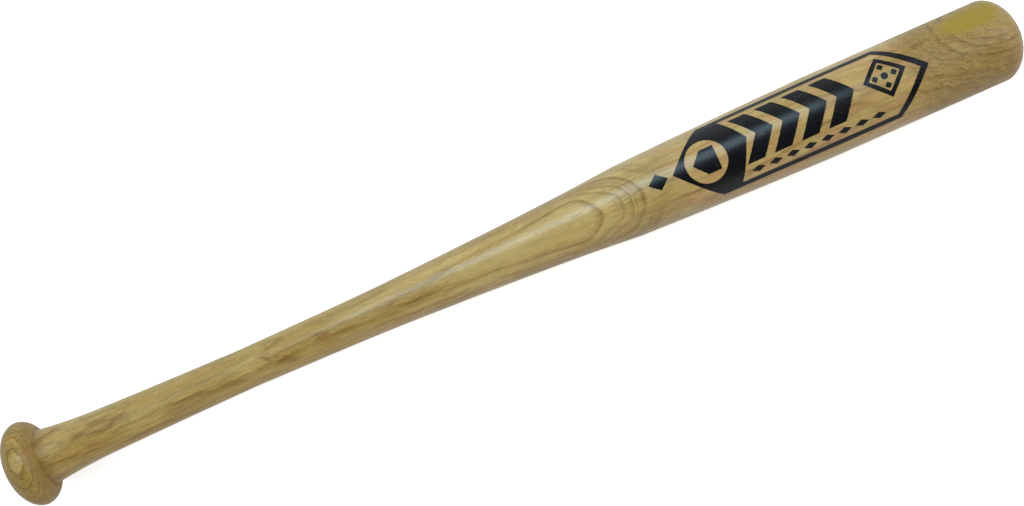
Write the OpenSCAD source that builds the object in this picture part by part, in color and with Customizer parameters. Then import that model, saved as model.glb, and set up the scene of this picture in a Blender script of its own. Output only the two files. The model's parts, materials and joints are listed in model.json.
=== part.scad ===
// One-piece turned wooden baseball bat with a printed barrel.
// The bat lies along X: knob at -X, barrel end at +X, print facing up.
// Z = 0 is the surface that it lies on, and the origin is under the middle.

/* [Overall] */
// Length over the knob and the rounded end
bat_length = 640; // [500:1:870]
// Diameter of the parallel part of the barrel
barrel_d = 50; // [44:0.2:67]
// Largest diameter of the knob
knob_d = 51.2; // [44:0.2:60]
// Diameter of the grip where it is thinnest
grip_d = 23.6; // [20:0.2:30]

/* [Knob] */
// From the flat on the knob's end to its largest diameter
knob_front = 13.8; // [8:0.1:20]
// From the largest diameter back to where the grip starts
knob_back = 9.4; // [5:0.1:16]
// Radius of the small turned flat on the knob's end
knob_flat_r = 3; // [1:0.1:8]
// Fullness of the knob's outer curve (2 is an ellipse)
knob_front_full = 2; // [1.6:0.05:3]
// Fullness of the knob's inner curve
knob_back_full = 1.75; // [1.4:0.05:3]

/* [Grip] */
// Diameter where the grip meets the knob
neck_d = 33.4; // [28:0.1:40]
// Distance over which the neck flares out into the knob
neck_length = 40; // [25:1:70]
// Diameter at the end of the neck
grip_end_d = 26.8; // [22:0.1:34]
// Slope of the outline where the neck leaves the knob
neck_slope = 0.15; // [0.1:0.01:0.4]
// Slope of the outline at the end of the neck
grip_slope = 0.025; // [0:0.005:0.06]
// From the knob's end to the thinnest place
waist_at = 153; // [110:1:220]
// Slope of the outline as it comes to the thinnest place
waist_in = 0.012; // [0:0.001:0.02]
// Slope of the outline as it leaves the thinnest place
waist_out = 0.017; // [0:0.001:0.02]

/* [Barrel] */
// Length of the parallel barrel, rounded end included
barrel_length = 128; // [80:1:260]
// Depth of the rounded end
dome_length = 17; // [10:0.2:30]
// Fullness of the rounded end (2 is an ellipse)
dome_full = 1.88; // [1.6:0.02:3]

/* [Taper] */
// Start of the taper, as a share of the way from waist to barrel
start_at = 0.275; // [0.15:0.005:0.4]
// Share of the widening done at the start
start_rise = 0.149; // [0.08:0.001:0.2]
// Steepness at the start (1 is an even cone)
start_steep = 1.13; // [0.8:0.01:1.4]
// Middle of the taper, as a share of the same way
middle_at = 0.55; // [0.45:0.005:0.6]
// Share of the widening done at the middle
middle_rise = 0.518; // [0.4:0.001:0.6]
// Steepness at the middle
middle_steep = 1.66; // [1.2:0.01:2]
// Shoulder where the taper turns into the barrel, as a share of the same way
shoulder_at = 0.667; // [0.64:0.001:0.8]
// Share of the widening done at the shoulder
shoulder_rise = 0.766; // [0.7:0.001:0.85]
// Steepness just before the shoulder
shoulder_steep = 2.27; // [1.5:0.01:2.6]
// Steepness just after the shoulder
barrel_steep = 0.9; // [0.5:0.01:1.2]
// Steepness where the parallel barrel starts
entry_steep = 0.45; // [0:0.01:0.6]

/* [Print] */
// Thickness of the printed film
ink_t = 0.1; // [0.04:0.01:0.3]
// Length of the frame line along the bat
print_length = 173; // [120:1:200]
// Width of the frame line, measured around the barrel
print_width = 50; // [30:0.5:60]
// From the frame's right point to the barrel's end
print_to_end = 62; // [40:1:120]
// Turn of the print's middle away from straight up
print_turn = 6.5; // [0:0.5:20]
// Width of the frame line
line_w = 3.5; // [2:0.1:6]
// Length of the slanted ends of the frame
frame_point = 24; // [14:1:40]
// From the print's left end to the frame's left point
frame_start = 15; // [12:0.5:24]
// Length of the frame's solid left end, from its point
solid_length = 36; // [28:0.5:40]
// Diameter of the bare disc in the solid end
disc_d = 25; // [18:0.5:30]
// Width of the home plate in the disc
plate_w = 15; // [8:0.5:18]
// Bare strip between the frame line and the shapes inside it
art_gap = 2.8; // [1.5:0.1:4]
// Bare strip between two chevrons
chevron_gap = 6; // [3:0.5:8]
// Reach of a chevron's point
chevron_reach = 11; // [4:0.5:14]
// Height of the lozenges in the lower row
lozenge_h = 4.2; // [2:0.1:5]
// Bare strip between two lozenges
lozenge_gap = 2.2; // [1:0.1:3]
// How far the diamond ring stays inside the chevrons' height, above and below
diamond_inset = 2; // [0:0.5:4]
// From the diamond ring to the frame's right point
diamond_clear = 9; // [7:0.5:14]
// Width of the ring's band
diamond_band = 2.6; // [1:0.1:3]
// Bare strip between the ring, the bases and the dot in the middle
base_gap = 1.6; // [1:0.1:2.2]
// Length of the single diamond ahead of the frame
tip_l = 12; // [6:0.5:13]
// Height of the single diamond ahead of the frame
tip_h = 10; // [6:0.5:18]

/* [Hidden] */
$fn = 96;
wood = [0.78, 0.62, 0.36];
ink = [0.03, 0.03, 0.03];
r_barrel = barrel_d / 2;
r_grip = grip_d / 2;
axis_z = max(knob_d, barrel_d + 2 * ink_t) / 2;

// Places along the bat, measured from the knob's end.
x_neck = knob_front + knob_back;
x_grip = x_neck + neck_length;
x_full = bat_length - barrel_length;
x_dome = bat_length - dome_length;
run = x_full - waist_at;
x_start = waist_at + start_at * run;
x_middle = waist_at + middle_at * run;
x_shoulder = waist_at + shoulder_at * run;
rise = r_barrel - r_grip;
even = rise / run;

// Stations of the outline behind the knob: [place, radius, slope before it, slope after it].
stations = [
    [x_neck, neck_d / 2, 0, -neck_slope],
    [x_grip, grip_end_d / 2, -grip_slope, -grip_slope],
    [waist_at, r_grip, -waist_in, waist_out],
    [x_start, r_grip + start_rise * rise, start_steep * even, start_steep * even],
    [x_middle, r_grip + middle_rise * rise, middle_steep * even, middle_steep * even],
    [x_shoulder, r_grip + shoulder_rise * rise, shoulder_steep * even, barrel_steep * even],
    [x_full, r_barrel, entry_steep * even, 0]];

// Number of the stretch that holds place x.
function stretch(x, i = 0) = i < len(stations) - 2 && x >= stations[i + 1][0] ? stretch(x, i + 1) : i;

// Height at t (0 to 1) of the cubic between stations a and b, l apart, which keeps their slopes.
function cubic(a, b, l, t) =
    a[1] * (2 * t * t * t - 3 * t * t + 1) + b[1] * (3 * t * t - 2 * t * t * t)
    + l * (a[3] * (t * t * t - 2 * t * t + t) + b[2] * (t * t * t - t * t));

// Radius of the wood behind the knob, at place x.
function radius(x) = x >= x_full ? r_barrel
    : let (i = stretch(x), a = stations[i], b = stations[i + 1], l = b[0] - a[0])
        cubic(a, b, l, (x - a[0]) / l);

function steps(a, b, n) = [for (i = [0 : n - 1]) a + (b - a) * i / n];

// Knob: a curve out from the flat to the rim, and a tighter one back to the neck.
front = [for (i = [0 : 16]) let (w = 90 * i / 16)
    [knob_flat_r + (knob_d / 2 - knob_flat_r) * pow(sin(w), 2 / knob_front_full),
     knob_front - knob_front * pow(cos(w), 2 / knob_front_full)]];
back = [for (i = [1 : 12]) let (w = 90 * i / 12)
    [neck_d / 2 + (knob_d / 2 - neck_d / 2) * pow(cos(w), 2 / knob_back_full),
     knob_front + knob_back * pow(sin(w), 2 / knob_back_full)]];
shaft_x = concat(steps(x_neck, x_grip, 12), steps(x_grip, waist_at, 10), steps(waist_at, x_start, 10),
    steps(x_start, x_middle, 10), steps(x_middle, x_shoulder, 6), steps(x_shoulder, x_full, 12), [x_full]);
shaft = [for (i = [1 : len(shaft_x) - 1]) [radius(shaft_x[i]), shaft_x[i]]];
dome = [for (i = [0 : 15]) let (w = 90 * i / 16)
    [r_barrel * pow(cos(w), 2 / dome_full), x_dome + dome_length * pow(sin(w), 2 / dome_full)]];

// Lays a shape turned about Z down along X, with the knob at -X.
module lay_down() {
    translate([-bat_length / 2, 0, axis_z])
        rotate([0, 90, 0])
            children();
}

module bat_body() {
    color(wood)
        lay_down()
            rotate_extrude()
                polygon(concat([[0, 0]], front, back, shaft, dome, [[0, bat_length]]));
}

// Print: flat artwork is drawn in millimetres along the bat (u) and around it (v).
u_0 = bat_length - print_to_end - print_length;
ink_x = concat([for (x = shaft_x) if (x > x_middle) x], [x_dome]);
film_in = [for (x = ink_x) [radius(x), x]];
film_out = [for (i = [len(film_in) - 1 : -1 : 0]) [film_in[i][0] + ink_t, film_in[i][1]]];

// A thin skin on the wood, from the taper to the rounded end.
module skin() {
    lay_down()
        rotate_extrude()
            polygon(concat(film_in, film_out));
}

// Wraps a flat point round the barrel and looks at it from above.
function wrap(p) = let (r = radius(u_0 + p[0])) [u_0 + p[0] - bat_length / 2, r * sin(p[1] / r * 180 / PI)];

// Adds points along the sides of an outline so that they follow the barrel.
function dense(pts, n) = [for (i = [0 : len(pts) - 1], k = [0 : n - 1])
    pts[i] + (pts[(i + 1) % len(pts)] - pts[i]) * k / n];

module film(pts, n = 4) {
    intersection() {
        skin();
        translate([0, 0, axis_z])
            rotate([-print_turn, 0, 0])
                linear_extrude(height = barrel_d)
                    polygon([for (p = dense(pts, n)) wrap(p)]);
    }
}

// Cuts through the film everything above a flat outline.
module cutter(pts, n = 4) {
    translate([0, 0, axis_z])
        rotate([-print_turn, 0, 0])
            linear_extrude(height = barrel_d)
                polygon([for (p = dense(pts, n)) wrap(p)]);
}

// A round peg that meets the surface at (u, v).
module peg(u, v, d) {
    translate([u_0 + u - bat_length / 2, 0, axis_z])
        rotate([-print_turn - v / r_barrel * 180 / PI, 0, 0])
            cylinder(d = d, h = barrel_d);
}

// Flat outlines of the artwork.
function rhomb(u, v, a, b) = [[u - a, v], [u, v - b], [u + a, v], [u, v + b]];

function frame_outline(d) = let (h = print_width / 2 - d, q = d * 1.4, c = d * 0.45)
    [[frame_start + q, 0], [frame_start + frame_point + c, -h],
     [print_length - frame_point - c, -h], [print_length - q, 0],
     [print_length - frame_point - c, h], [frame_start + frame_point + c, h]];

function window_outline(d) = let (h = print_width / 2 - d, q = d * 1.4, c = d * 0.45)
    [[u_window, -h], [print_length - frame_point - c, -h], [print_length - q, 0],
     [print_length - frame_point - c, h], [u_window, h], [u_window + chevron_reach, v_art]];

function chevron(u, v, h, t) = [[u, v - h], [u + t, v - h], [u + t + chevron_reach, v],
    [u + t, v + h], [u, v + h], [u + chevron_reach, v]];

function home_plate(u, v, w) = [[u - w * 0.55, v], [u - w * 0.1, v - w / 2], [u + w * 0.45, v - w / 2],
    [u + w * 0.45, v + w / 2], [u - w * 0.1, v + w / 2]];

// Heights around the print, from its middle: the window, the lozenge row, the shapes above it.
window_h = print_width / 2 - line_w;
v_row = -window_h + art_gap + lozenge_h / 2;
art_low = v_row + lozenge_h / 2 + art_gap;
art_high = window_h - art_gap;
v_art = (art_low + art_high) / 2;
art_half = (art_high - art_low) / 2;

// Places along the print, from its left end.
u_window = frame_start + solid_length;
u_disc = u_window - disc_d / 2 - art_gap;
diamond_half = art_half - diamond_inset;
u_diamond = print_length - line_w - diamond_clear - diamond_half;
u_chevron = u_window + 2 * art_gap;
chevron_run = u_diamond - diamond_half - 2 * art_gap - u_chevron - chevron_reach;
chevron_pitch = (chevron_run + chevron_gap) / 4;
chevron_t = chevron_pitch - chevron_gap;
lozenges = 8;
u_row = u_window + chevron_reach;
lozenge_pitch = (u_diamond - u_row) / lozenges;
lozenge_l = lozenge_pitch - lozenge_gap;
corner = diamond_band * sqrt(2);
base_w = (diamond_half - corner - 2 * base_gap) / 1.5;

module print_frame() {
    color(ink)
        difference() {
            film(frame_outline(0), 6);
            cutter(window_outline(line_w), 6);
            peg(u_disc, 0, disc_d);
        }
}

module print_plate() {
    color(ink)
        film(home_plate(u_disc, 0, plate_w), 3);
}

module print_diamond() {
    color(ink)
        difference() {
            film(rhomb(u_diamond, v_art, diamond_half, diamond_half), 5);
            cutter(rhomb(u_diamond, v_art, diamond_half - corner, diamond_half - corner), 5);
        }
}

module print_bases() {
    reach = diamond_half - corner - base_gap - base_w / 2;
    color(ink)
        for (s = [[-1, 0], [1, 0], [0, -1], [0, 1]])
            film(rhomb(u_diamond + s[0] * reach, v_art + s[1] * reach, base_w / 2, base_w / 2), 1);
}

module print_dot() {
    color(ink)
        intersection() {
            skin();
            peg(u_diamond, v_art, base_w);
        }
}

module print_chevron(i) {
    color(ink)
        film(chevron(u_chevron + (i - 1) * chevron_pitch, v_art, art_half, chevron_t), 4);
}

module print_chevron_1() {
    print_chevron(1);
}

module print_chevron_2() {
    print_chevron(2);
}

module print_chevron_3() {
    print_chevron(3);
}

module print_chevron_4() {
    print_chevron(4);
}

module print_lozenges() {
    color(ink)
        for (i = [0 : lozenges - 1])
            film(rhomb(u_row + i * lozenge_pitch, v_row, lozenge_l / 2, lozenge_h / 2), 1);
}

module print_tip() {
    color(ink)
        film(rhomb(tip_l / 2, 0, tip_l / 2, tip_h / 2), 2);
}

bat_body();
print_frame();
print_plate();
print_chevron_1();
print_chevron_2();
print_chevron_3();
print_chevron_4();
print_diamond();
print_bases();
print_dot();
print_lozenges();
print_tip();
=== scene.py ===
"""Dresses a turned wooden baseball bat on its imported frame: wood, printed ink, floor, light and camera."""

import json
import math

import bpy
from bpy.props import FloatProperty, FloatVectorProperty, IntProperty, PointerProperty
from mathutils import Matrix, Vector

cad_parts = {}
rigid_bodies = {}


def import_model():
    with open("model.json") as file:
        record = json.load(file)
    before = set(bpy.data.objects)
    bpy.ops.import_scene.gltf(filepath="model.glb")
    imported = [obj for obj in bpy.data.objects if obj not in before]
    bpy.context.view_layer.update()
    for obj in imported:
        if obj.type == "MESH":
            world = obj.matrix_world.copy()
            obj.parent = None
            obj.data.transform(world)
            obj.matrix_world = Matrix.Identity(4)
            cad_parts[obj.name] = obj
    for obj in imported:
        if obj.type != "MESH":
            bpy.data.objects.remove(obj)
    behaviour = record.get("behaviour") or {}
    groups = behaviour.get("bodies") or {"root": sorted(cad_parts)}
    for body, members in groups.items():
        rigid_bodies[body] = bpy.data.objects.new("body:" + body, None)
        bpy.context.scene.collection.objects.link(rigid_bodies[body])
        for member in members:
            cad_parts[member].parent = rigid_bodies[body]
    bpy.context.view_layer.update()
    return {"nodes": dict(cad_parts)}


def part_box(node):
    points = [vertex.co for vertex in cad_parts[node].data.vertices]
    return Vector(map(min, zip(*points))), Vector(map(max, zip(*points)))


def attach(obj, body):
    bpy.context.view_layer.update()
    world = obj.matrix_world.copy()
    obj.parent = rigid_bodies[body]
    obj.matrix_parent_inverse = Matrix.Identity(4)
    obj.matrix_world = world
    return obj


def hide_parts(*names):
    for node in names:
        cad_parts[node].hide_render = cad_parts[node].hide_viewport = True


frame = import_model()

bl_info = {
    "name": "Turned Bat",
    "version": (1, 0, 0),
    "blender": (4, 5, 0),
    "location": "View3D > Sidebar > Bat",
    "description": "Turns the wooden bat, gives wood and print their finish, and sets up the studio",
    "category": "Object",
}

MM = 0.001
BODY_LOW, BODY_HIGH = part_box("bat_body")
AXIS_Z = (BODY_LOW.z + BODY_HIGH.z) / 2
PRINT_NODES = [n for n in frame["nodes"] if n.startswith("print_")]
WHITE = (1.0, 1.0, 1.0, 1.0)
SMOOTH_ANGLE = math.radians(40)
FLOOR_SIZE = 12
FLOOR_GRAIN = 40.0
SENSOR_WIDTH = 36

# Lamps: length and width, place and target, in metres. The end lamps stand past either end, one stronger.
KEY_SIZE = (0.80, 0.36)
KEY_PLACE = (0.06, 0.58, 1.02)
KEY_TARGET = (0.03, 0, AXIS_Z)
END_SIZE = (1.2, 1.2)
END_AWAY, END_ASIDE, END_UP = 1.5, 0.05, 1.3
END_BIAS = 0.3

# Heights of the sky, from 0 at the horizon to 1 straight above, between which its light fades.
SKY_FADE = (0.15, 0.8)


# Sizes and colours that a user would change.


def colour_property(name, description, default):
    """A colour that the panel shows as a swatch."""
    return FloatVectorProperty(name=name, description=description, default=default, subtype="COLOR")


class BatWood(bpy.types.PropertyGroup):
    """Sizes and colours of the turned wood."""

    around: IntProperty(name="Steps around", description="Faces around the turned body", default=160, min=32)
    same_place: FloatProperty(
        name="Same place",
        description="Rings of the outline nearer than this along the bat count as one",
        default=0.00005,
        unit="LENGTH",
    )
    pale: colour_property("Pale wood", "Early wood between the rings", (0.475, 0.343, 0.122))
    deep: colour_property("Deep wood", "Denser, browner wood", (0.358, 0.236, 0.062))
    warm: colour_property("Warm wood", "Reddish patches of the barrel", (0.44, 0.25, 0.092))
    brown: colour_property("Brown wood", "Brown streaks of the grain", (0.32, 0.18, 0.045))
    ring: colour_property("Ring line", "Dark late wood at each ring", (0.2, 0.095, 0.018))
    stain: colour_property("Lacquer run", "Thick yellow lacquer at the end", (0.325, 0.215, 0.018))
    ring_pitch: FloatProperty(
        name="Ring pitch", description="Growth of one year, in millimetres", default=2.4, min=0.5
    )
    roughness: FloatProperty(
        name="Roughness", description="Of the lacquered wood", default=0.44, min=0, max=1
    )


class BatPrint(bpy.types.PropertyGroup):
    """Colours of the printed ink."""

    ink: colour_property("Ink", "Black ink under the lacquer", (0.004, 0.004, 0.005))
    worn: colour_property("Worn ink", "Where wood shows through a scratch", (0.25, 0.18, 0.09))


class BatStudio(bpy.types.PropertyGroup):
    """Camera, lamps and floor."""

    lens: FloatProperty(name="Lens", description="Focal length in millimetres", default=52.73, min=10)
    height: FloatProperty(
        name="Height", description="Camera above the bat's axis", default=0.8738, unit="LENGTH"
    )
    turn: FloatProperty(
        name="Turn",
        description="Slope of the bat in the camera's view",
        default=math.radians(23.77),
        subtype="ANGLE",
    )
    aim_x: FloatProperty(
        name="Aim along", description="Middle of the view, along the bat", default=-0.00114, unit="LENGTH"
    )
    aim_y: FloatProperty(
        name="Aim across", description="Middle of the view, across the bat", default=-0.00064, unit="LENGTH"
    )
    floor_grey: FloatProperty(name="Floor", description="Paleness of the floor", default=0.8, min=0, max=1)
    floor_glow: FloatProperty(
        name="Floor glow", description="Light that the floor adds for the camera", default=0.66
    )
    horizon: FloatProperty(name="Horizon", description="Light from all around, low down", default=0.88)
    zenith: FloatProperty(name="Zenith", description="Light from all around, straight above", default=0.03)
    key: FloatProperty(name="Key", description="Power of the long soft lamp, in watts", default=7.7)
    key_colour: colour_property("Key colour", "Slightly cool light of the long lamp", (0.6, 0.83, 1.0))
    ends: FloatProperty(
        name="Ends", description="Power of each broad lamp past an end, in watts", default=13.5
    )


# Small helpers.


def select_only(obj):
    """Leaves obj as the one selected and active object."""
    for other in bpy.context.scene.objects:
        other.select_set(other == obj)
    bpy.context.view_layer.objects.active = obj


def wood_outline(same_place):
    """The turned outline as (place along the bat, radius), read from the rings of the frame's body."""
    rings = {}
    for v in frame["nodes"]["bat_body"].data.vertices:
        place = round(v.co.x / same_place)
        radius = math.hypot(v.co.y, v.co.z - AXIS_Z)
        rings[place] = max(rings.get(place, 0.0), radius)
    return [(place * same_place, rings[place]) for place in sorted(rings)]


class Graph:
    """Adds nodes to a tree and links them, so that a material reads as a formula."""

    def __init__(self, tree):
        self.tree = tree
        tree.nodes.clear()

    def feed(self, socket, value):
        if isinstance(value, bpy.types.NodeSocket):
            self.tree.links.new(value, socket)
        elif value is not None:
            socket.default_value = value

    def add(self, kind, *values, named=None, **settings):
        node = self.tree.nodes.new(kind)
        for key, value in settings.items():
            setattr(node, key, value)
        for socket, value in zip(node.inputs, values):
            self.feed(socket, value)
        for key, value in (named or {}).items():
            self.feed(node.inputs[key], value)
        return node

    def math(self, operation, *values):
        return self.add("ShaderNodeMath", *values, operation=operation).outputs[0]

    def times(self, a, b):
        return self.math("MULTIPLY", a, b)

    def most(self, a, b):
        return self.math("MAXIMUM", a, b)

    def centred(self, noise, size):
        """The noise's distance from its middle, times size."""
        return self.times(self.math("SUBTRACT", noise, 0.5), size)

    def vector(self, operation, *values):
        node = self.add("ShaderNodeVectorMath", *values, operation=operation)
        return node.outputs["Value" if operation in ("LENGTH", "DOT_PRODUCT") else "Vector"]

    def scaled(self, vector, scale):
        return self.vector("MULTIPLY", vector, scale)

    def along(self, place):
        return self.add("ShaderNodeSeparateXYZ", place).outputs[0]

    def noise(self, vector, scale, detail=2.0, roughness=0.5, distortion=0.0):
        named = {"Vector": vector, "Scale": scale, "Detail": detail}
        named |= {"Roughness": roughness, "Distortion": distortion}
        return self.add("ShaderNodeTexNoise", named=named).outputs["Fac"]

    def shaded(self, colour, noise, depth):
        """The colour, lighter or darker by depth times the noise's distance from its middle."""
        factor = self.math("MULTIPLY_ADD", noise, depth, 1.0 - depth / 2)
        return self.add("ShaderNodeVectorMath", colour, named={"Scale": factor}, operation="SCALE").outputs[0]

    def ramp(self, value, low, high, to_low=0.0, to_high=1.0, smooth=True):
        kind = "SMOOTHSTEP" if smooth else "LINEAR"
        node = self.add("ShaderNodeMapRange", value, low, high, to_low, to_high, interpolation_type=kind)
        return node.outputs[0]

    def fade(self, value, low, high):
        """1 below low, falling to 0 above high."""
        return self.ramp(value, low, high, 1.0, 0.0)

    def mix(self, factor, a, b):
        node = self.add("ShaderNodeMix", data_type="RGBA")
        self.feed(node.inputs[0], factor)
        self.feed(node.inputs[6], a)
        self.feed(node.inputs[7], b)
        return node.outputs[2]

    def between(self, factor, a, b):
        """The number a where factor is 0, and b where it is 1."""
        return self.add("ShaderNodeMix", factor, None, a, b).outputs[0]

    def bump(self, height):
        named = {"Strength": BUMP_STRENGTH, "Distance": BUMP_DEPTH, "Height": height}
        return self.add("ShaderNodeBump", named=named).outputs[0]

    def group(self, name, **values):
        node = self.tree.nodes.new("ShaderNodeGroup")
        node.node_tree = bpy.data.node_groups[name]
        for key, value in values.items():
            self.feed(node.inputs[key], value)
        return node


def new_group(name, inputs, outputs):
    """A shader node group, with its sockets given as (name, kind, default)."""
    tree = bpy.data.node_groups.new(name, "ShaderNodeTree")
    for label, kind, default in inputs:
        socket = tree.interface.new_socket(name=label, in_out="INPUT", socket_type="NodeSocket" + kind)
        if default is not None:
            socket.default_value = default
    for label, kind in outputs:
        tree.interface.new_socket(name=label, in_out="OUTPUT", socket_type="NodeSocket" + kind)
    graph = Graph(tree)
    start = graph.add("NodeGroupInput").outputs
    end = graph.add("NodeGroupOutput").inputs
    return graph, start, end


def rgb(colour):
    return (*colour, 1.0)


# Places along the bat, in millimetres from its middle, between which one kind of wood gives way to the next.
# The first two pairs bound the painted shade in the crease where the knob meets the handle.
CREASE_SHADE_IN = (-304, -299)
CREASE_SHADE_OUT = (-297, -288)
NECK = (-299, -293)
HANDLE_OUT = (-120, -80)
TAPER_IN = (-110, -60)
TONGUE_IN = (-130, -20)
TAPER_OUT = (85, 110)
TIGHT_IN = (20, 50)
DULL_IN = (50, 80)
BARREL_IN = (70, 120)
END_IN = (232, 262)
SWELL_IN = (236, 256)

# Where the fibres start to slant towards the round end, and how steeply; where their waves grow, and to what.
SLANT_FROM, SLANT = 240.0, 0.4
WAVE_IN, WAVE_SIZES = (225, 265), (1.5, 6.5)

# Spots of noise per millimetre: along the bat, across it and up. Fibres are long, so theirs are few along it.
WAVE_GRAIN = (0.16, 0.12, 0.12)
STREAK_GRAIN = (0.015, 0.42, 0.42)
THREAD_GRAIN = (0.055, 1.3, 1.3)
FINE_GRAIN = (0.07, 3.2, 3.2)
PORE_GRAIN = (0.16, 4.2, 4.2)
SLOW_RIPPLE = (0.012, 0.05, 0.05)
QUICK_RIPPLE = (0.05, 0.22, 0.22)
PATCH_GRAIN = (0.02, 0.07, 0.07)
WARM_GRAIN = (0.028, 0.1, 0.1)
CLEAR_GRAIN = (0.012, 0.09, 0.09)
SCRATCH_GRAIN = (0.35, 1.4, 1.4)

# Grain relief: its strength, and its depth in metres.
BUMP_STRENGTH = 0.15
BUMP_DEPTH = 0.0002

# Lacquer: shine beneath the coat, the coat's weight, how handle and ends change that weight, its roughness.
SHINE = 0.3
COAT, COAT_ON_HANDLE, COAT_ON_ENDS = 0.56, -0.2, -0.44
COAT_ROUGHNESS = 0.28

# The pith, in millimetres: its depth under the bat's axis, how far aside it lies, and how that drifts along.
PITH_DEPTH = 38.0
PITH_ASIDE = 1.0
PITH_DRIFT = -0.0133

# How far the rings dip: a steady slope and start, then two falls, each given by its two ends and its depth.
DIP_SLOPE, DIP_START = 0.028, -1.41
FIRST_FALL, FIRST_DROP = (38, 66), 5.8
SECOND_FALL, SECOND_DROP = (60, 90), 9.0

# Ripples in the rings, in millimetres: slow ones, quick ones, and those around the swell.
SLOW_RISE, QUICK_RISE, SWELL_RISE = 1.8, 0.9, 4.0

# How far threads feather the rings, in millimetres, and what the knob and the barrel take off that.
FEATHER, TIGHTER = 0.55, -0.3

# How far streaks push the brown marks aside, in millimetres.
WANDER = 4.0

# Shares of a year between which late wood darkens and then ends, and what the faintest year keeps of it.
LATE_IN, LATE_OUT = (0.72, 0.96), (0.965, 1.0)
FAINTEST = 0.45

# Where the grain swells: (along, across, up), reach, height in millimetres. Spots sit on the turned surface.
SWELLS = [
    ((-304, 1.0, 13), (14, 12.0, 7), -3.0),
    ((-306, 3, 24), (10, 40, 14), -1.3),
    ((160, 14, 20), (40, 9, 20), 1.2),
    ((205, -10, 20), (34, 9, 20), -1.4),
]

# Brown marks on the upper side: (along, across), half length, half width, slope, bend, darkness.
MARKS = [
    ((-259, 6.0), 13, 1.5, 0.0, -0.012, 0.85),
    ((-259, 1.4), 13, 1.5, 0.0, 0.012, 0.85),
    ((-271, 3.8), 5, 2.2, 0.0, 0.0, 1.0),
    ((-247, 3.8), 6, 1.8, 0.0, 0.0, 0.9),
    ((-276, -6.4), 20, 1.1, -0.09, 0.0, 0.9),
    ((-262, -4.4), 10, 1.1, -0.04, 0.0, 0.61),
    ((-203, -3.0), 20, 2.2, 0.01, -0.0072, 0.85),
    ((-180, -4.6), 10, 2.1, -0.12, 0.0, 0.8),
    ((-205, -6.8), 14, 1.1, 0.05, 0.0, 0.54),
    ((-154.5, 0.2), 4, 1.6, -0.9, 0.0, 1.0),
    ((-145, -4.8), 8, 2.0, -0.22, 0.0, 0.9),
    ((-146, -2.0), 5, 1.3, -0.5, 0.0, 0.81),
    ((-150, 6.2), 8, 1.3, 0.3, 0.0, 0.61),
    ((-120, -0.6), 5, 2.8, -0.3, 0.0, 1.0),
    ((-107, -2.6), 13, 1.5, -0.08, 0.0, 1.0),
    ((-70, -5.2), 26, 1.1, -0.05, 0.0, 0.68),
    ((-62, -9.4), 30, 1.3, -0.03, 0.0, 0.81),
    ((-95, 8.6), 24, 1.1, 0.03, 0.0, 0.54),
    ((84, -16.2), 5, 2.4, 0.8, 0.0, 0.8),
    ((95, -2), 7, 2.2, 0.4, 0.0, 0.47),
    ((205, 2), 16, 2.6, -0.5, 0.0, 0.68),
    ((192, 3), 12, 2.0, 0.35, 0.0, 0.47),
    ((252, 14), 12, 1.3, 0.12, 0.0, 0.81),
    ((250, 18), 12, 1.1, 0.06, 0.0, 0.68),
    ((246, 10), 14, 1.5, -0.15, 0.0, 0.54),
    ((268, -9), 16, 1.3, -0.3, 0.0, 0.68),
    ((262, -14), 18, 1.3, -0.22, 0.0, 0.68),
    ((284, -13), 14, 1.3, -0.35, 0.0, 0.61),
    ((290, -3), 10, 1.1, -0.25, 0.0, 0.54),
    ((-291, 11.2), 12, 1.2, 0.22, -0.010, 0.95),
    ((79.5, -14.6), 1.0, 0.8, 0.0, 0.0, 1.2),
    ((118, -18), 8, 1.5, 0.1, 0.0, 0.45),
]

# Rings that crop out on the taper: distance past the tongue's own ring, thickness, darkness. That ring lies
# TONGUE_DEPTH from the pith, and the tongue is the wood beyond it. Rings nearer the pith have a minus.
TONGUE_RINGS = [
    (0.0, 0.35, 1.0),
    (-2.9, 0.4, 0.75),
    (-4.8, 0.45, 0.8),
    (-6.0, 0.4, 0.65),
    (-7.8, 0.65, 1.0),
    (-12.3, 0.7, 0.6),
    (-14.5, 0.7, 0.5),
]
TONGUE_DEPTH = 54.75

# Rings around the swell at the barrel's end: distance from its middle, thickness, darkness.
SWELL_RINGS = [
    (15.2, 0.6, 0.75),
    (19.4, 0.7, 0.85),
    (24.8, 0.7, 0.85),
    (28.4, 0.6, 0.5),
    (31.6, 0.7, 0.5),
    (36.5, 0.7, 0.45),
    (41.0, 0.8, 0.45),
    (47.0, 0.8, 0.35),
]
SWELL_MIDDLE = (305, 16, 0)

# The swell is longer than wide, goes straight down through the wood, and has no rings within its heart.
SWELL_SHAPE = (0.69, 1, 0)
SWELL_HEART = (12, 15)

# Lacquer run near the round end; knob's painted highlight over its pale ring core: (along, across, up) and
# reach.
RUN_SPOT, RUN_REACH = (291, 17, 18), (19, 8, 12)
PALE_CORE_HIGHLIGHT_SPOT, PALE_CORE_HIGHLIGHT_REACH = (-306, 3.8, 25), (4, 6, 7)


# Effects that the materials share.


def make_bat_place():
    """Place on the bat in millimetres: along it, across it, and up from its axis."""
    g, _, end = new_group("Bat Place", [], [("Place", "Vector")])
    here = g.add("ShaderNodeTexCoord").outputs["Object"]
    moved = g.vector("SUBTRACT", here, (0.0, 0.0, AXIS_Z))
    g.feed(end["Place"], g.scaled(moved, (1 / MM, 1 / MM, 1 / MM)))


def make_swell():
    """A smooth rise around one spot."""
    sockets = [("Place", "Vector", None), ("Spot", "Vector", None)]
    sockets += [("Reach", "Vector", (1, 1, 1)), ("Height", "Float", 1.0)]
    g, start, end = new_group("Swell", sockets, [("Rise", "Float")])
    away = g.vector("DIVIDE", g.vector("SUBTRACT", start["Place"], start["Spot"]), start["Reach"])
    fall = g.math("EXPONENT", g.times(g.vector("DOT_PRODUCT", away, away), -1.0))
    g.feed(end["Rise"], g.times(fall, start["Height"]))


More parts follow.
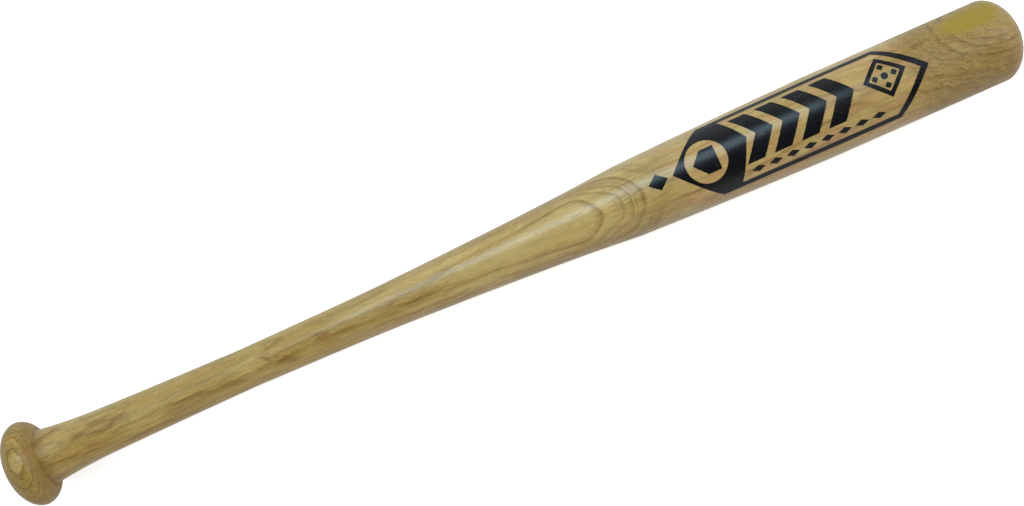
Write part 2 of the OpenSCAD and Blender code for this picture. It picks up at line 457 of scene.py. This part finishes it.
def make_ring_line():
    """One ring: dark at its own depth, with a soft shade that fades away just past it."""
    sockets = [("Depth", "Float", 0.0), ("Thickness", "Float", 0.2), ("Darkness", "Float", 1.0)]
    g, start, end = new_group("Ring Line", sockets, [("Line", "Float")])
    off = g.math("DIVIDE", start["Depth"], start["Thickness"])
    sharp = g.math("EXPONENT", g.times(g.times(off, off), -1.0))
    soft = g.times(g.ramp(off, -0.5, 0.5), g.ramp(off, 0.5, 5.0, 0.45, 0.0))
    g.feed(end["Line"], g.times(g.most(sharp, soft), start["Darkness"]))


def ring_set(g, depth, rings, start=0.0):
    """The darkest of several rings, each at its own depth past start."""
    total = None
    for level, thickness, darkness in rings:
        off = g.math("SUBTRACT", depth, start + level)
        line = g.group("Ring Line", Depth=off, Thickness=thickness, Darkness=darkness).outputs[0]
        total = line if total is None else g.most(total, line)
    return total


def make_mark():
    """A brown mark in the grain, long and thin, that may slope and bend; only on the upper side."""
    kinds = [("Spot", "Vector", None), ("Length", "Float", 10.0), ("Width", "Float", 1.0)]
    kinds += [("Slope", "Float", 0.0), ("Bend", "Float", 0.0), ("Darkness", "Float", 1.0)]
    g, start, end = new_group("Grain Mark", [("Place", "Vector", None), *kinds], [("Mark", "Float")])
    away = g.add("ShaderNodeSeparateXYZ", g.vector("SUBTRACT", start["Place"], start["Spot"])).outputs
    climb = g.math("MULTIPLY_ADD", away[0], start["Bend"], start["Slope"])
    aside = g.math("DIVIDE", g.math("SUBTRACT", away[1], g.times(away[0], climb)), start["Width"])
    ahead = g.math("DIVIDE", away[0], start["Length"])
    ahead = g.math("POWER", g.math("ABSOLUTE", ahead), 4.0)
    fall = g.math("EXPONENT", g.times(g.math("MULTIPLY_ADD", aside, aside, ahead), -1.0))
    upper = g.times(g.ramp(away[2], 0, 3), start["Darkness"])
    g.feed(end["Mark"], g.times(fall, upper))


def make_marks():
    """All brown marks of the grain together."""
    g, start, end = new_group("Grain Marks", [("Place", "Vector", None)], [("Mark", "Float")])
    total = None
    for (along, across), length, width, slope, bend, darkness in MARKS:
        values = {"Spot": (along, across, 0), "Length": length, "Width": width}
        values |= {"Slope": slope, "Bend": bend, "Darkness": darkness}
        mark = g.group("Grain Mark", Place=start["Place"], **values).outputs[0]
        total = mark if total is None else g.most(total, mark)
    g.feed(end["Mark"], total)


def ring_depth(g, place, along, slow, quick, feather):
    """Distance from the pith, less a dip that grows towards the barrel, with swells and ripples."""
    aside = g.math("MULTIPLY_ADD", along, PITH_DRIFT, PITH_ASIDE)
    pith = g.add("ShaderNodeCombineXYZ", 0.0, aside, PITH_DEPTH).outputs[0]
    depth = g.vector("LENGTH", g.vector("ADD", g.scaled(place, (0, 1, 1)), pith))
    dip = g.math("MULTIPLY_ADD", along, DIP_SLOPE, DIP_START)
    dip = g.math("ADD", dip, g.ramp(along, *FIRST_FALL, 0, FIRST_DROP))
    dip = g.math("ADD", dip, g.ramp(along, *SECOND_FALL, 0, SECOND_DROP))
    depth = g.math("SUBTRACT", depth, dip)
    for spot, reach, height in SWELLS:
        rise = g.group("Swell", Place=place, Spot=spot, Reach=reach, Height=height).outputs[0]
        depth = g.math("ADD", depth, rise)
    depth = g.math("ADD", depth, g.centred(slow, SLOW_RISE))
    depth = g.math("ADD", depth, g.centred(quick, QUICK_RISE))
    return g.math("ADD", depth, feather)


def swell_lines(g, place, quick, feather):
    """Rings around the swell at the barrel's end."""
    away = g.vector("LENGTH", g.scaled(g.vector("SUBTRACT", place, SWELL_MIDDLE), SWELL_SHAPE))
    away = g.math("ADD", away, g.math("ADD", g.centred(quick, SWELL_RISE), feather))
    return g.times(ring_set(g, away, SWELL_RINGS), g.ramp(away, *SWELL_HEART))


def make_growth_rings():
    """Growth rings about a pith that lies under the bat and dips towards the barrel."""
    sockets = [("Place", "Vector", None), ("Pitch", "Float", 2.4), ("Feather", "Float", 0.5)]
    outputs = [("Line", "Float"), ("Band", "Float"), ("Tongue", "Float")]
    g, start, end = new_group("Growth Rings", sockets, outputs)
    place, feather = start["Place"], start["Feather"]
    along = g.along(place)
    slow = g.noise(g.scaled(place, SLOW_RIPPLE), 1.0, 2.0)
    quick = g.noise(g.scaled(place, QUICK_RIPPLE), 1.0, 2.0)
    depth = ring_depth(g, place, along, slow, quick, feather)
    year = g.math("DIVIDE", depth, start["Pitch"])
    part = g.math("FRACT", year)
    late = g.times(g.ramp(part, *LATE_IN), g.fade(part, *LATE_OUT))
    named = {"W": g.math("FLOOR", year)}
    chance = g.add("ShaderNodeTexWhiteNoise", named=named, noise_dimensions="1D").outputs[0]
    late = g.times(late, g.ramp(chance, 0, 1, FAINTEST, 1.0, smooth=False))
    tongue = ring_set(g, depth, TONGUE_RINGS, TONGUE_DEPTH)
    swell = swell_lines(g, place, quick, feather)
    taper = g.times(g.ramp(along, *TAPER_IN), g.fade(along, *TAPER_OUT))
    tip = g.ramp(along, *SWELL_IN)
    plain = g.math("SUBTRACT", g.math("SUBTRACT", 1.0, taper), tip)
    late = g.math("ADD", g.times(late, plain), g.times(tongue, taper))
    g.feed(end["Line"], g.math("ADD", late, g.times(swell, tip)))
    g.feed(end["Band"], g.ramp(part, 0.0, 0.95, smooth=False))
    inside = g.ramp(g.math("SUBTRACT", depth, TONGUE_DEPTH), 0.0, 0.8)
    g.feed(end["Tongue"], g.times(inside, g.ramp(along, *TONGUE_IN)))


def make_fibres():
    """Long fibres and short open pores that run along the bat, and slant and wave at its end."""
    outputs = [("Streak", "Float"), ("Fine", "Float"), ("Pore", "Float"), ("Thread", "Float")]
    g, start, end = new_group("Fibres", [("Place", "Vector", None)], outputs)
    place = start["Place"]
    along = g.along(place)
    slant = g.times(g.most(g.math("SUBTRACT", along, SLANT_FROM), 0.0), SLANT)
    wave = g.noise(g.scaled(place, WAVE_GRAIN), 1.0, 2.0)
    wave = g.centred(wave, g.ramp(along, *WAVE_IN, *WAVE_SIZES))
    lift = g.add("ShaderNodeCombineXYZ", 0.0, g.math("ADD", slant, wave), wave).outputs[0]
    place = g.vector("ADD", place, lift)
    g.feed(end["Streak"], g.noise(g.scaled(place, STREAK_GRAIN), 1.0, 3.0, 0.6, 0.15))
    g.feed(end["Thread"], g.noise(g.scaled(place, THREAD_GRAIN), 1.0, 3.0, 0.6, 0.2))
    g.feed(end["Fine"], g.noise(g.scaled(place, FINE_GRAIN), 1.0, 3.0, 0.65))
    pores = g.noise(g.scaled(place, PORE_GRAIN), 1.0, 1.0, 0.5)
    g.feed(end["Pore"], g.ramp(pores, 0.6, 0.72))


# Materials.


def new_material(name):
    material = bpy.data.materials.new(name)
    material.use_nodes = True
    g = Graph(material.node_tree)
    out = g.add("ShaderNodeOutputMaterial")
    shader = g.add("ShaderNodeBsdfPrincipled")
    g.tree.links.new(shader.outputs[0], out.inputs[0])
    return material, g, shader


def spot_mask(g, place, spot, reach, low, high, ragged=0.35, scale=0.25):
    """1 inside a ragged spot on the wood, 0 outside."""
    rise = g.group("Swell", Place=place, Spot=spot, Reach=reach, Height=1.0).outputs[0]
    rag = g.noise(g.scaled(place, (scale, scale * 2, scale * 2)), 1.0, 3.0, 0.6)
    return g.ramp(g.math("ADD", rise, g.centred(rag, ragged)), low, high)


class WoodPlace:
    """What the wood's colour is worked out from: the place on the bat, its region, fibres and rings."""

    def __init__(self, g, look):
        self.place = g.group("Bat Place").outputs[0]
        self.along = g.along(self.place)
        self.fibres = g.group("Fibres", Place=self.place).outputs
        self.knob = g.fade(self.along, *NECK)
        self.handle = g.times(g.ramp(self.along, *NECK), g.fade(self.along, *HANDLE_OUT))
        self.end = g.ramp(self.along, *END_IN)
        self.knob_or_end = g.most(self.knob, self.end)
        self.run = spot_mask(g, self.place, RUN_SPOT, RUN_REACH, 0.24, 0.52, 0.7, 0.14)
        self.warmth = g.noise(g.scaled(self.place, WARM_GRAIN), 2.3, 3.0, 0.6)
        loose = g.math("MULTIPLY_ADD", g.most(self.knob, g.ramp(self.along, *TIGHT_IN)), TIGHTER, FEATHER)
        feather = g.centred(self.fibres["Thread"], loose)
        rings = {"Place": self.place, "Pitch": look.ring_pitch, "Feather": feather}
        self.rings = g.group("Growth Rings", **rings).outputs


def plain_wood(g, look, at):
    """Wood between the rings: pale, deep and warm patches, with brown streaks."""
    streak = at.fibres["Streak"]
    patches = g.noise(g.scaled(at.place, PATCH_GRAIN), 1.0, 3.0, 0.6)
    base = g.mix(g.ramp(patches, 0.35, 0.68), rgb(look.pale), rgb(look.deep))
    base = g.mix(g.times(g.ramp(at.along, *BARREL_IN), g.ramp(at.warmth, 0.43, 0.6)), base, rgb(look.warm))
    base = g.mix(g.times(at.knob_or_end, 0.55), base, rgb(look.deep))
    base = g.mix(g.times(at.rings["Tongue"], 0.5), base, rgb(look.pale))
    base = g.mix(g.times(at.handle, 0.28), base, rgb(look.brown))
    yellow = g.most(g.times(at.handle, 0.15), g.times(at.knob, 0.45))
    base = g.mix(yellow, base, rgb(look.stain))
    brown = g.most(g.ramp(streak, 0.48, 0.72, 0.0, 0.75), g.ramp(at.warmth, 0.56, 0.72, 0.0, 0.35))
    base = g.mix(brown, base, rgb(look.brown))
    return g.mix(g.times(at.rings["Band"], 0.15), base, rgb(look.deep))


def ring_strength(g, at):
    """How clearly the growth rings show: weak on the handle, full on the knob."""
    strength = g.noise(g.scaled(at.place, CLEAR_GRAIN), 1.0, 2.0)
    strength = g.ramp(strength, 0.32, 0.55, 0.5, 1.0)
    strength = g.times(strength, g.math("MULTIPLY_ADD", at.handle, -0.7, 1.0))
    return g.most(strength, at.knob)


def dark_lines(g, look, at, base):
    """Adds ring lines and grain marks, the knob's darker late wood, and a painted highlight over its pale
    ring core.
    """
    thread = at.fibres["Thread"]
    wander = g.centred(at.fibres["Streak"], WANDER)
    wander = g.add("ShaderNodeCombineXYZ", 0.0, wander, 0.0).outputs[0]
    marks = g.group("Grain Marks", Place=g.vector("ADD", at.place, wander)).outputs[0]
    broken = g.ramp(thread, 0.35, 0.65, 1.0, 0.75)
    line = g.times(g.times(at.rings["Line"], ring_strength(g, at)), broken)
    line = g.most(line, g.times(marks, g.ramp(thread, 0.35, 0.62, 0.95, 0.7)))
    line = g.times(line, g.math("SUBTRACT", 1.0, at.run))
    base = g.mix(g.times(line, 0.9), base, rgb(look.ring))
    late = g.times(at.knob, g.math("POWER", at.rings["Band"], 2.0))
    base = g.mix(g.times(late, 0.5), base, rgb(look.ring))
    # Painted highlight: a pale spot on top of the knob, over the lighter core of its rings.
    pale_core_highlight = spot_mask(g, at.place, PALE_CORE_HIGHLIGHT_SPOT, PALE_CORE_HIGHLIGHT_REACH, 0.35, 0.65)
    return g.mix(g.times(pale_core_highlight, 0.55), base, rgb(look.pale))


def fibre_shading(g, look, at, base):
    """Shades the wood along its fibres, more strongly at both ends, and darkens its pores."""
    streak, thread, fine = at.fibres["Streak"], at.fibres["Thread"], at.fibres["Fine"]
    calm = g.times(at.rings["Tongue"], 0.4)
    base = g.shaded(base, streak, 0.95)
    base = g.shaded(base, g.between(calm, thread, 0.5), 0.85)
    base = g.shaded(base, fine, 0.85)
    tips = g.most(g.times(at.knob, 0.55), at.end)
    dull = g.most(g.times(at.handle, 0.2), g.ramp(at.along, *DULL_IN, 0.0, 0.27))
    base = g.shaded(base, g.most(tips, dull), -0.3)
    lively = g.most(at.knob_or_end, g.times(at.handle, 0.5))
    base = g.shaded(base, g.between(lively, 0.5, fine), 1.0)
    base = g.shaded(base, g.between(lively, 0.5, thread), 0.7)
    pores = g.times(at.fibres["Pore"], g.math("MULTIPLY_ADD", at.end, 0.3, 0.35))
    return g.mix(pores, base, rgb(look.ring))


def wood_material(look):
    """Pale straight-grained hardwood under clear satin lacquer."""
    material, g, shader = new_material("Lacquered wood")
    at = WoodPlace(g, look)
    fine = at.fibres["Fine"]
    base = plain_wood(g, look, at)
    base = dark_lines(g, look, at, base)
    base = fibre_shading(g, look, at, base)
    # Painted shade: darkens the wood towards the ring colour in the crease where the knob meets the handle.
    painted_crease_shade = g.times(g.ramp(at.along, *CREASE_SHADE_IN), g.fade(at.along, *CREASE_SHADE_OUT))
    base = g.mix(g.times(painted_crease_shade, 0.5), base, rgb(look.ring))
    run = g.shaded(tuple(look.stain), at.fibres["Thread"], 0.5)
    g.feed(shader.inputs["Base Color"], g.mix(g.times(at.run, 0.92), base, run))
    rough = g.ramp(fine, 0.2, 0.8, look.roughness - 0.05, look.roughness + 0.07)
    g.feed(shader.inputs["Roughness"], rough)
    height = g.math("ADD", g.times(at.fibres["Pore"], -0.6), g.times(fine, 0.4))
    g.feed(shader.inputs["Normal"], g.bump(height))
    shader.inputs["Specular IOR Level"].default_value = SHINE
    coat = g.math("MULTIPLY_ADD", at.handle, COAT_ON_HANDLE, COAT)
    coat = g.math("MULTIPLY_ADD", at.knob_or_end, COAT_ON_ENDS, coat)
    g.feed(shader.inputs["Coat Weight"], coat)
    shader.inputs["Coat Roughness"].default_value = COAT_ROUGHNESS
    return material


def ink_material(look):
    """Black ink that follows the grain under the lacquer, with a few fine scratches."""
    material, g, shader = new_material("Black ink")
    place = g.group("Bat Place").outputs[0]
    fibres = g.group("Fibres", Place=place).outputs
    cut = g.noise(g.scaled(place, SCRATCH_GRAIN), 1.0, 2.0, 0.5, 0.6)
    scratch = g.times(g.ramp(cut, 0.68, 0.71), g.ramp(fibres["Streak"], 0.48, 0.6))
    base = g.mix(g.times(scratch, 0.6), rgb(look.ink), rgb(look.worn))
    g.feed(shader.inputs["Base Color"], base)
    g.feed(shader.inputs["Roughness"], g.ramp(fibres["Fine"], 0.25, 0.75, 0.24, 0.34))
    g.feed(shader.inputs["Normal"], g.bump(fibres["Fine"]))
    shader.inputs["Specular IOR Level"].default_value = SHINE
    return material


def floor_material(look):
    """Pale even floor that stays white from above."""
    material, g, shader = new_material("Pale floor")
    grain = g.noise(g.add("ShaderNodeTexCoord").outputs["Object"], FLOOR_GRAIN, 2.0)
    g.feed(shader.inputs["Roughness"], g.ramp(grain, 0.3, 0.7, 0.75, 0.85))
    shader.inputs["Base Color"].default_value = rgb([look.floor_grey] * 3)
    seen = g.add("ShaderNodeLightPath").outputs["Is Camera Ray"]
    shader.inputs["Emission Color"].default_value = WHITE
    g.feed(shader.inputs["Emission Strength"], g.times(seen, look.floor_glow))
    return material


def sky_shader(world, horizon, zenith):
    """Light from all around that fades towards straight above."""
    world.use_nodes = True
    g = Graph(world.node_tree)
    out = g.add("ShaderNodeOutputWorld")
    sky = g.add("ShaderNodeBackground")
    g.tree.links.new(sky.outputs[0], out.inputs[0])
    up = g.add("ShaderNodeSeparateXYZ", g.add("ShaderNodeTexCoord").outputs["Generated"]).outputs[2]
    sky.inputs["Color"].default_value = WHITE
    g.feed(sky.inputs["Strength"], g.ramp(up, *SKY_FADE, horizon, zenith))


# Operators.


class BAT_OT_make_effects(bpy.types.Operator):
    """Builds the shared effects: place on the bat, swells, grain marks, growth rings and fibres"""

    bl_idname = "bat.make_effects"
    bl_label = "Make Wood Effects"

    def execute(self, context):
        make_bat_place()
        make_swell()
        make_ring_line()
        make_mark()
        make_marks()
        make_growth_rings()
        make_fibres()
        return {"FINISHED"}


def draw_outline(outline, same_place):
    """A chain of edges along the outline, from the knob's middle to the end's, left in edit mode."""
    first_x = outline[0][0]
    last_x = outline[-1][0]
    bpy.ops.mesh.primitive_plane_add(size=MM, location=(first_x, 0, AXIS_Z))
    bpy.ops.object.mode_set(mode="EDIT")
    bpy.ops.mesh.merge(type="CENTER")
    here = Vector((first_x, 0, AXIS_Z))
    for x, r in outline[:-1] + [(last_x, 0.0)]:
        there = Vector((x, 0, AXIS_Z + r))
        if (there - here).length > same_place:
            bpy.ops.mesh.extrude_region_move(TRANSFORM_OT_translate={"value": there - here})
            here = there


class BAT_OT_turn_body(bpy.types.Operator):
    """Turns the body on its axis from the frame's outline, as on a lathe"""

    bl_idname = "bat.turn_body"
    bl_label = "Turn the Body"

    def execute(self, context):
        look = context.scene.bat_wood
        select_only(None)
        draw_outline(wood_outline(look.same_place), look.same_place)
        body = context.object
        body.name = "wood_body"
        bpy.ops.mesh.select_all(action="SELECT")
        bpy.ops.mesh.spin(
            steps=look.around, angle=2 * math.pi, center=(0, 0, AXIS_Z), axis=(1, 0, 0), use_auto_merge=True
        )
        bpy.ops.mesh.select_all(action="SELECT")
        bpy.ops.mesh.remove_doubles(threshold=0.2 * look.same_place)
        bpy.ops.mesh.normals_make_consistent(inside=False)
        bpy.ops.object.mode_set(mode="OBJECT")
        bpy.ops.object.transform_apply(location=True, rotation=True, scale=True)
        bpy.ops.object.shade_smooth_by_angle(angle=SMOOTH_ANGLE)
        body.data.materials.append(wood_material(look))
        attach(body, "root")
        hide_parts("bat_body")
        return {"FINISHED"}


class BAT_OT_ink_print(bpy.types.Operator):
    """Gives every printed shape its ink"""

    bl_idname = "bat.ink_print"
    bl_label = "Ink the Print"

    def execute(self, context):
        ink = ink_material(context.scene.bat_print)
        for name in PRINT_NODES:
            node = frame["nodes"][name]
            for slot in node.material_slots:
                slot.material = ink
        return {"FINISHED"}


def add_lamp(name, power, size, place, target):
    """An oblong lamp of the given length and width in metres, turned to shine on target."""
    bpy.ops.object.light_add(type="AREA", location=place)
    lamp = bpy.context.object
    lamp.name = name
    lamp.data.shape = "RECTANGLE"
    lamp.data.size, lamp.data.size_y = size
    lamp.data.energy = power
    lamp.rotation_euler = (Vector(target) - lamp.location).to_track_quat("-Z", "Y").to_euler()
    return lamp


class BAT_OT_set_stage(bpy.types.Operator):
    """Lays the pale floor and sets the soft lamps and the camera straight above the bat"""

    bl_idname = "bat.set_stage"
    bl_label = "Set the Stage"

    def execute(self, context):
        look = context.scene.bat_studio
        select_only(None)
        bpy.ops.mesh.primitive_plane_add(size=FLOOR_SIZE, location=(0, 0, 0))
        floor = context.object
        floor.name = "floor"
        floor.data.materials.append(floor_material(look))
        world = context.scene.world or bpy.data.worlds.new("Studio")
        context.scene.world = world
        sky_shader(world, look.horizon, look.zenith)
        key = add_lamp("key lamp", look.key, KEY_SIZE, KEY_PLACE, KEY_TARGET)
        key.data.color = look.key_colour
        for side in (-1, 1):
            power = look.ends * (1 + END_BIAS * side)
            place = (side * END_AWAY, END_ASIDE, END_UP)
            add_lamp("end lamp", power, END_SIZE, place, (0, 0, AXIS_Z))
        place = (look.aim_x, look.aim_y, AXIS_Z + look.height)
        bpy.ops.object.camera_add(location=place, rotation=(0, 0, -look.turn))
        camera = context.object
        camera.name = "camera"
        camera.data.lens = look.lens
        camera.data.sensor_width = SENSOR_WIDTH
        context.scene.camera = camera
        context.scene.view_settings.view_transform = "Standard"
        return {"FINISHED"}


class BAT_PT_panel(bpy.types.Panel):
    """Lists what can be made and changed"""

    bl_label = "Turned Bat"
    bl_idname = "BAT_PT_panel"
    bl_space_type = "VIEW_3D"
    bl_region_type = "UI"
    bl_category = "Bat"

    def draw(self, context):
        for settings in (context.scene.bat_wood, context.scene.bat_print, context.scene.bat_studio):
            box = self.layout.box()
            for name in settings.bl_rna.properties.keys():
                if name not in ("rna_type", "name"):
                    box.prop(settings, name)
        for operator in OPERATORS:
            self.layout.operator(operator.bl_idname)


SETTINGS = {"bat_wood": BatWood, "bat_print": BatPrint, "bat_studio": BatStudio}
OPERATORS = (BAT_OT_make_effects, BAT_OT_turn_body, BAT_OT_ink_print, BAT_OT_set_stage)
CLASSES = (*SETTINGS.values(), *OPERATORS, BAT_PT_panel)


def register():
    for cls in CLASSES:
        bpy.utils.register_class(cls)
    for name, cls in SETTINGS.items():
        setattr(bpy.types.Scene, name, PointerProperty(type=cls))


def unregister():
    for name in SETTINGS:
        delattr(bpy.types.Scene, name)
    for cls in reversed(CLASSES):
        bpy.utils.unregister_class(cls)


def main():
    register()
    bpy.ops.bat.make_effects()
    bpy.ops.bat.turn_body()
    bpy.ops.bat.ink_print()
    bpy.ops.bat.set_stage()


if __name__ == "__main__":
    main()
